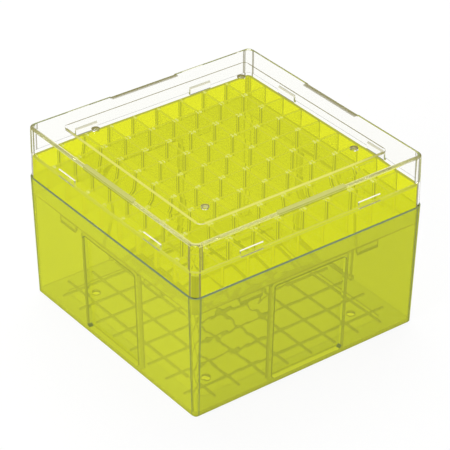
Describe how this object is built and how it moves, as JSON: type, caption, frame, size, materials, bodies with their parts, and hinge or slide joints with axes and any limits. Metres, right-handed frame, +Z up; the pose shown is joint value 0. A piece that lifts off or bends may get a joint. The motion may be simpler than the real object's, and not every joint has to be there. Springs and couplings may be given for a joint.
{
  "type": "cryogenic storage box",
  "caption": "Square box for upright sample tubes: drafted base, lift-out grid insert with numbered places, and a clear lid that lifts off.",
  "frame": {"origin": "middle of the base's underside, on the surface that the box stands on", "axes": "+Z up, the way the lid and the insert lift; +X along the rows of numbers, from the first place to the last; +Y towards the row that holds place 1"},
  "size_m": [0.133, 0.133, 0.0938],
  "materials": {
    "tinted_plastic": "polished, translucent yellow-green polycarbonate",
    "clear_plastic": "polished, clear polycarbonate"
  },
  "bodies": {
    "base": {"base": "tinted_plastic"},
    "insert": {"insert_frame": "tinted_plastic", "insert_dividers": "tinted_plastic", "number_posts": "tinted_plastic"},
    "lid": {"lid": "clear_plastic"}
  },
  "joints": [
    {"name": "insert_lift", "type": "slide", "parent": "base", "child": "insert", "axis": [0, 0, 1], "range_m": [0, 0.03]},
    {"name": "lid_lift", "type": "slide", "parent": "insert", "child": "lid", "axis": [0, 0, 1], "range_m": [0, 0.045]}
  ]
}
